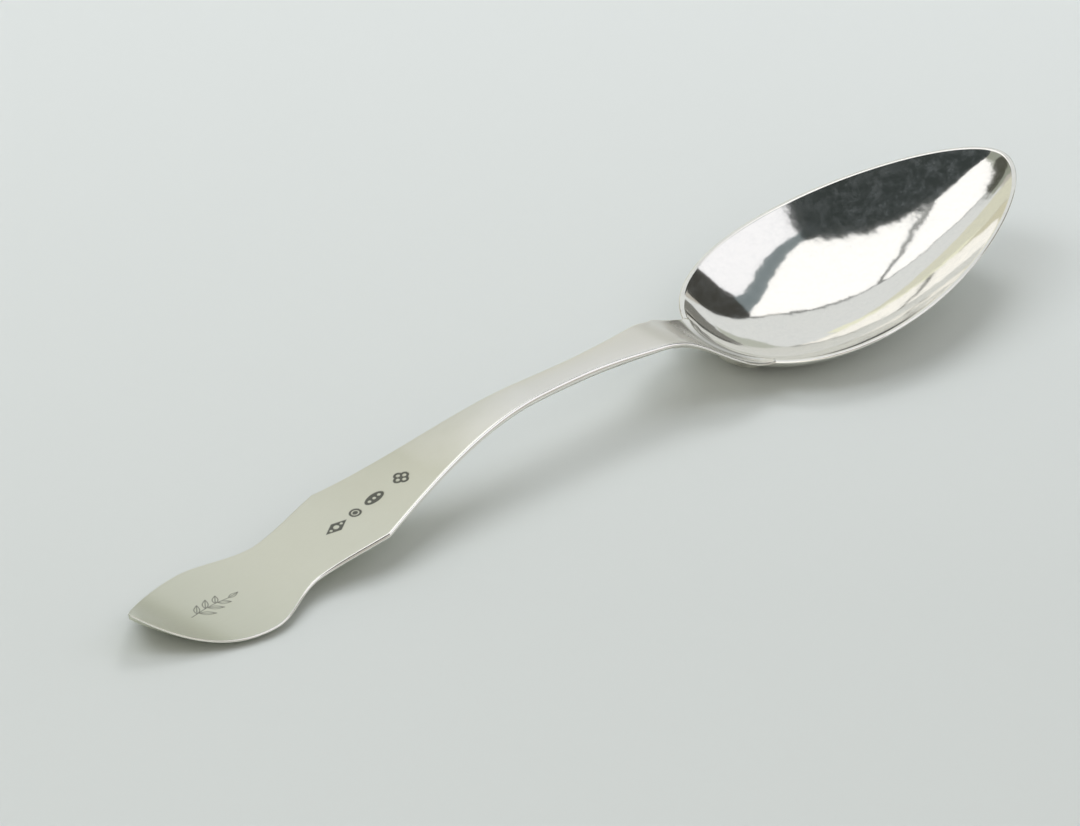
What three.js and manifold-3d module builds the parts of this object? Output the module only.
// Fiddle pattern table spoon: a raised silver bowl, a forged handle whose heel laps
// the back of the bowl as a drop, and the thin layer of hard solder between them.
// Millimetres, +Z up, +X from the handle's point towards the bowl's tip.

import * as THREE from 'three';
import { mergeVertices } from 'three/addons/utils/BufferGeometryUtils.js';
import Module from 'manifold-3d';

// Bowl
const BOWL_LENGTH = 74.8;
const BOWL_WIDTH = 47.2;
const BOWL_DEPTH = 9.05;
const BOWL_FULLNESS = 1.65;
const BOWL_WALL = 1.2;
const RIM_WIDTH = 0.8;
const RIM_EDGE = 0.4;
const BOWL_TILT = 10.3;
const HEEL_POWER = 0.46;
const TIP_POWER = 0.538;
const HEEL_FULLNESS = 0.38;

// Handle: stations are distances from its point, widths are across the whole face
const HANDLE_LENGTH = 145.2;
const POINT_WIDTH = 0.7;
const POINT_FLARE = 1.19;
const LOBE_STATION = 22.9;
const LOBE_WIDTH = 25.9;
const WAIST_STATION = 37.8;
const WAIST_WIDTH = 16.7;
const SHOULDER_STATION = 53.1;
const SHOULDER_WIDTH = 20.4;
const SHOULDER_RISE = 0.106;
const SHOULDER_FALL = -0.352;
const NECK_BACK = 40;
const NECK_WIDTH = 4.8;
const KNEE_BACK = 13.8;
const KNEE_WIDTH = 11.5;
const KNEE_FLARE = 0.29;
const FAN_BACK = 3.6;
const FAN_WIDTH = 24.5;

// Handle: heights of its face above the table, with the slopes between them
const POINT_HEIGHT = 8;
const POINT_SLOPE = -0.83;
const LOW_STATION = 17.7;
const LOW_HEIGHT = 1.5;
const SHOULDER_HEIGHT = 7.4;
const SHOULDER_SLOPE = 0.221;
const CROWN_STATION = 97.2;
const CROWN_HEIGHT = 16.1;
const BEND_BACK = 18;
const BEND_HEIGHT = 15.2;
const BEND_SLOPE = -0.08;
const DIVE_BACK = 9;
const DIVE_HEIGHT = 12;
const DIVE_SLOPE = -0.66;
const FOOT_SLOPE = -0.18;

// Handle: thickness in the middle and at the edges
const POINT_THICKNESS = 1;
const LOBE_THICKNESS = 1.7;
const SHOULDER_THICKNESS = 2;
const NECK_THICKNESS = 2.7;
const KNEE_THICKNESS = 2.6;
const LOBE_EDGE = 0.6;
const SHOULDER_EDGE = 0.8;
const NECK_EDGE = 1.1;
const FAN_EDGE = 0.6;

// Drop: the tongue of the handle on the back of the bowl
const DROP_LENGTH = 9;
const DROP_WIDTH = 10.6;
const DROP_THICKNESS = 1.2;
const DROP_EDGE = 0.35;

// Joint and resting faces
const JOINT_GAP = 0.3;
const SOLDER_CLEARANCE = 0.05;
const REST_DEPTH = 0.22;

// Fineness of the surfaces
const BOWL_ROWS = 36;
const BOWL_STEPS = 21;
const FACE_STEPS = 15;

const overall = HANDLE_LENGTH + BOWL_LENGTH;
const tilt = Math.tan(THREE.MathUtils.degToRad(BOWL_TILT));
const wasm = await Module();
wasm.setup();

// Smooth curve through stations of [place, value, slope before, slope after]
function smoothThrough(stations) {
  return (x) => {
    let i = 1;
    while (i < stations.length - 1 && x > stations[i][0]) i += 1;
    const [x0, v0, , s0] = stations[i - 1];
    const [x1, v1, s1] = stations[i];
    const span = x1 - x0;
    const t = THREE.MathUtils.clamp((x - x0) / span, 0, 1);
    const near = (1 + 2 * t) * (1 - t) ** 2;
    const far = t * t * (3 - 2 * t);
    return v0 * near + v1 * far + span * t * (1 - t) * (s0 * (1 - t) - s1 * t);
  };
}

const station = (x, value, slope = 0, after = slope) => [x, value, slope, after];
const smoothStep = (t) => THREE.MathUtils.smoothstep(t, 0, 1);

function solidOf(geometry) {
  const bare = geometry.clone();
  bare.deleteAttribute('normal');
  bare.deleteAttribute('uv');
  const merged = mergeVertices(bare, 1e-4);
  const corners = [];
  for (let i = 0; i < merged.index.count; i += 3) {
    const [a, b, c] = merged.index.array.slice(i, i + 3);
    if (a !== b && b !== c && c !== a) corners.push(a, b, c);
  }
  return new wasm.Manifold(new wasm.Mesh({
    numProp: 3,
    vertProperties: new Float32Array(merged.attributes.position.array),
    triVerts: new Uint32Array(corners),
  }));
}

function geometryOf(solid) {
  const mesh = solid.getMesh();
  const geometry = new THREE.BufferGeometry();
  geometry.setAttribute('position', new THREE.BufferAttribute(new Float32Array(mesh.vertProperties), 3));
  geometry.setIndex(new THREE.BufferAttribute(new Uint32Array(mesh.triVerts), 1));
  return geometry;
}

// Closed skin over rings of points, all with the same count, each ring running
// anticlockwise when seen from the point of the handle looking along +X; the first
// and last ring are capped, unless they have drawn together to an edge
function skinRings(rings, capped) {
  const count = rings[0].length;
  const points = rings.flat();
  const faces = [];
  for (let r = 0; r < rings.length - 1; r += 1) {
    for (let i = 0; i < count; i += 1) {
      const a = r * count + i;
      const b = r * count + ((i + 1) % count);
      faces.push(a, a + count, b, b, a + count, b + count);
    }
  }
  const last = (rings.length - 1) * count;
  for (let i = 1; capped && i < count - 1; i += 1) {
    faces.push(0, i, i + 1);
    faces.push(last, last + i + 1, last + i);
  }
  const geometry = new THREE.BufferGeometry();
  geometry.setAttribute('position', new THREE.Float32BufferAttribute(points.flat(), 3));
  geometry.setIndex(faces);
  return geometry;
}

// Points of one cross-section from one edge to the other, close together at the edges;
// nothing reaches below the table
function acrossRow(x, from, steps, height) {
  const row = [];
  for (let i = 0; i <= steps; i += 1) {
    const y = from * Math.cos((Math.PI * i) / steps);
    row.push([x - overall / 2, y, Math.max(height(x, y), 0)]);
  }
  return row;
}

// Ring of one cross-section: across the top from right to left, back along the bottom
function sectionRing(x, half, steps, top, bottom) {
  return [...acrossRow(x, -half, steps, top), ...acrossRow(x, half, steps, bottom)];
}

// Bowl outline: round at the heel, fullest behind the middle, drawn to a soft point
function bowlShape(t) {
  const lean = 1 - HEEL_FULLNESS * (t - 0.5);
  return t ** HEEL_POWER * (1 - t) ** TIP_POWER * lean;
}
let fullest = 0;
for (let i = 1; i < 200; i += 1) fullest = Math.max(fullest, bowlShape(i / 200));

function bowlHalfWidth(x, grow) {
  const from = HANDLE_LENGTH - grow;
  const to = overall + grow;
  const t = THREE.MathUtils.clamp((x - from) / (to - from), 0, 1);
  return ((BOWL_WIDTH / 2 + grow) * bowlShape(t)) / fullest;
}

// Depth of the dished surface below the edge it starts from: a parabola across, while
// along the bowl it follows the width and stays fuller than that at both ends
function bowlDrop(x, y, grow, depth) {
  const half = bowlHalfWidth(x, grow);
  if (half < Math.abs(y) || half === 0) return 0;
  const along = (half / (BOWL_WIDTH / 2 + grow)) ** BOWL_FULLNESS;
  return depth * along * (1 - (y / half) ** 2);
}

// The outside starts below the rim's edge; the belly sinks to the table, less the flat it is worn to
const outerDepth = BOWL_DEPTH + BOWL_WALL - RIM_EDGE;
let belly = 0;
for (let i = 1; i < 400; i += 1) {
  const x = HANDLE_LENGTH + (BOWL_LENGTH * i) / 400;
  belly = Math.max(belly, bowlDrop(x, 0, 0, outerDepth) - tilt * (x - HANDLE_LENGTH));
}
const heelHeight = belly + RIM_EDGE - REST_DEPTH;
const rimHeight = (x) => heelHeight + tilt * (x - HANDLE_LENGTH);

// Place of a row of the bowl, close together at the heel and the tip
function bowlRow(i, grow) {
  const from = HANDLE_LENGTH - grow;
  const to = overall + grow;
  return from + ((to - from) * (1 - Math.cos((Math.PI * i) / BOWL_ROWS))) / 2;
}

const backOfBowl = (x, y, grow) => rimHeight(x) - RIM_EDGE
  - bowlDrop(x, y, grow, outerDepth + grow);
const insideOfBowl = (x, y) => rimHeight(x) - bowlDrop(x, y, -RIM_WIDTH, BOWL_DEPTH);

// The bowl as a shell: inside, flat rim, upright edge and back
function bowlShell() {
  const rings = [];
  for (let i = 0; i <= BOWL_ROWS; i += 1) {
    const x = bowlRow(i, 0);
    const inner = bowlRow(i, -RIM_WIDTH);
    const half = bowlHalfWidth(x, 0);
    const innerHalf = bowlHalfWidth(inner, -RIM_WIDTH);
    rings.push([
      ...acrossRow(inner, -innerHalf, BOWL_STEPS, insideOfBowl),
      [x - overall / 2, half, rimHeight(x)],
      ...acrossRow(x, half, BOWL_STEPS, (px, py) => backOfBowl(px, py, 0)),
      [x - overall / 2, -half, rimHeight(x)],
    ]);
  }
  return solidOf(skinRings(rings, false));
}

// The space that the bowl fills, grown by a margin and open above the rim
function bowlSpace(grow) {
  const rings = [];
  for (let i = 0; i <= BOWL_ROWS; i += 1) {
    const x = bowlRow(i, grow);
    const half = bowlHalfWidth(x, grow);
    const top = (px) => rimHeight(px) + BOWL_WIDTH;
    rings.push(sectionRing(x, half, BOWL_STEPS, top, (px, py) => backOfBowl(px, py, grow)));
  }
  return solidOf(skinRings(rings, false));
}

// Handle outline in plan
const neckStation = HANDLE_LENGTH - NECK_BACK;
const kneeStation = HANDLE_LENGTH - KNEE_BACK;
const fanStation = HANDLE_LENGTH - FAN_BACK;
const bendStation = HANDLE_LENGTH - BEND_BACK;
const diveStation = HANDLE_LENGTH - DIVE_BACK;
const handleEnd = HANDLE_LENGTH + DROP_LENGTH;

const handleOutline = smoothThrough([
  station(0, POINT_WIDTH / 2, POINT_FLARE),
  station(LOBE_STATION, LOBE_WIDTH / 2),
  station(WAIST_STATION, WAIST_WIDTH / 2),
  station(SHOULDER_STATION, SHOULDER_WIDTH / 2, SHOULDER_RISE, SHOULDER_FALL),
  station(neckStation, NECK_WIDTH / 2),
  station(kneeStation, KNEE_WIDTH / 2, KNEE_FLARE),
  station(fanStation, FAN_WIDTH / 2),
]);

// Where the fan's edge runs out on the bowl's rim
let footStation = HANDLE_LENGTH;
while (bowlHalfWidth(footStation, 0) < FAN_WIDTH / 2) footStation += 0.05;

// The thick rib of the stem runs on under the bowl and ends there as the round drop;
// the fan spreads as thin wings on both sides of it
const ribOutline = smoothThrough([
  station(kneeStation, KNEE_WIDTH / 2, KNEE_FLARE),
  station(footStation, DROP_WIDTH / 2),
]);

function ribHalfWidth(x) {
  if (x <= kneeStation) return handleOutline(x);
  if (x <= footStation) return ribOutline(x);
  const along = (x - footStation) / (handleEnd - footStation);
  return (DROP_WIDTH / 2) * Math.sqrt(Math.max(1 - along * along, 0.002));
}

const handleHalfWidth = (x) => (x <= footStation ? handleOutline(x) : ribHalfWidth(x));

// Handle face in side view, at its edges
const faceEdge = smoothThrough([
  station(0, POINT_HEIGHT, POINT_SLOPE),
  station(LOW_STATION, LOW_HEIGHT),
  station(SHOULDER_STATION, SHOULDER_HEIGHT, SHOULDER_SLOPE),
  station(CROWN_STATION, CROWN_HEIGHT),
  station(bendStation, BEND_HEIGHT, BEND_SLOPE),
  station(diveStation, DIVE_HEIGHT, DIVE_SLOPE),
  station(footStation, rimHeight(footStation), FOOT_SLOPE),
]);

const thickness = smoothThrough([
  station(0, POINT_THICKNESS),
  station(LOW_STATION, LOBE_THICKNESS),
  station(SHOULDER_STATION, SHOULDER_THICKNESS),
  station(neckStation, NECK_THICKNESS),
  station(kneeStation, KNEE_THICKNESS),
]);

const edgeThickness = smoothThrough([
  station(0, LOBE_EDGE),
  station(LOW_STATION, LOBE_EDGE),
  station(SHOULDER_STATION, SHOULDER_EDGE),
  station(neckStation, NECK_EDGE),
  station(fanStation, FAN_EDGE),
  station(footStation, RIM_EDGE),
]);

// The face is flat along the handle and dishes towards the bowl as it dives into the heel
const heelDish = Math.max(faceEdge(HANDLE_LENGTH) - rimHeight(HANDLE_LENGTH), 0);

function faceHeight(x, y) {
  const dished = heelDish * smoothStep((x - kneeStation) / (HANDLE_LENGTH - kneeStation));
  const across = y / handleHalfWidth(x);
  return faceEdge(x) - dished * (1 - across * across);
}

// The back is rounded; past the knee the rib runs down to the drop under the bowl
const lapOf = (x, y) => backOfBowl(x, y, JOINT_GAP);
const kneeBack = faceHeight(kneeStation, 0) - KNEE_THICKNESS;
const dropStart = HANDLE_LENGTH + DROP_LENGTH / 3;
const spine = smoothThrough([
  station(kneeStation, kneeBack, -0.42),
  station(dropStart, lapOf(dropStart, 0) - DROP_THICKNESS, -0.5),
  station(handleEnd, lapOf(handleEnd, 0) - DROP_EDGE, -0.12),
]);

function backHeight(x, y) {
  const rib = ribHalfWidth(x);
  const wing = (py) => faceHeight(x, py) - edgeThickness(x);
  if (Math.abs(y) > rib) return wing(y);
  const middle = x <= kneeStation ? faceEdge(x) - thickness(x) : spine(x);
  const edge = x <= footStation ? wing(rib) : lapOf(x, rib) - DROP_EDGE;
  return middle + (edge - middle) * (y / rib) ** 2;
}

function handleBlank() {
  const marks = [0, LOBE_STATION, WAIST_STATION, SHOULDER_STATION, neckStation, kneeStation,
    footStation, footStation + JOINT_GAP / 4, handleEnd];
  const pitch = [2, 2.4, 2.6, 4.4, 3.2, 1.3, 1, 0.5];
  const rings = [];
  for (let m = 0; m < pitch.length; m += 1) {
    const span = marks[m + 1] - marks[m];
    const steps = Math.max(Math.round(span / pitch[m]), 2);
    for (let i = 0; i < steps; i += 1) {
      const x = marks[m] + (span * i) / steps;
      rings.push(sectionRing(x, handleHalfWidth(x), FACE_STEPS, faceHeight, backHeight));
    }
  }
  rings.push(sectionRing(handleEnd, handleHalfWidth(handleEnd), FACE_STEPS, faceHeight, backHeight));
  return solidOf(skinRings(rings, true));
}

const blank = handleBlank();
const solderFrom = SOLDER_CLEARANCE;
const solderTo = JOINT_GAP - SOLDER_CLEARANCE;
const bowlSolid = bowlShell();
const handleSolid = blank.subtract(bowlSpace(JOINT_GAP));
const solderSolid = bowlSpace(solderTo).subtract(bowlSpace(solderFrom)).intersect(blank);

const silver = { metalness: 1, color: '#d9dad2' };
const polished = new THREE.MeshStandardMaterial({ ...silver, roughness: 0.08 });
const satin = new THREE.MeshStandardMaterial({ ...silver, roughness: 0.34 });
const soldered = new THREE.MeshStandardMaterial({ metalness: 1, color: '#cfcabb', roughness: 0.3 });

const spoon = new THREE.Group();
spoon.name = 'fiddle_pattern_spoon';

function addPiece(name, solid, material) {
  const piece = new THREE.Mesh(geometryOf(solid), material);
  piece.name = name;
  spoon.add(piece);
}

addPiece('bowl', bowlSolid, polished);
addPiece('handle', handleSolid, satin);
addPiece('solder_seam', solderSolid, soldered);

export default spoon;
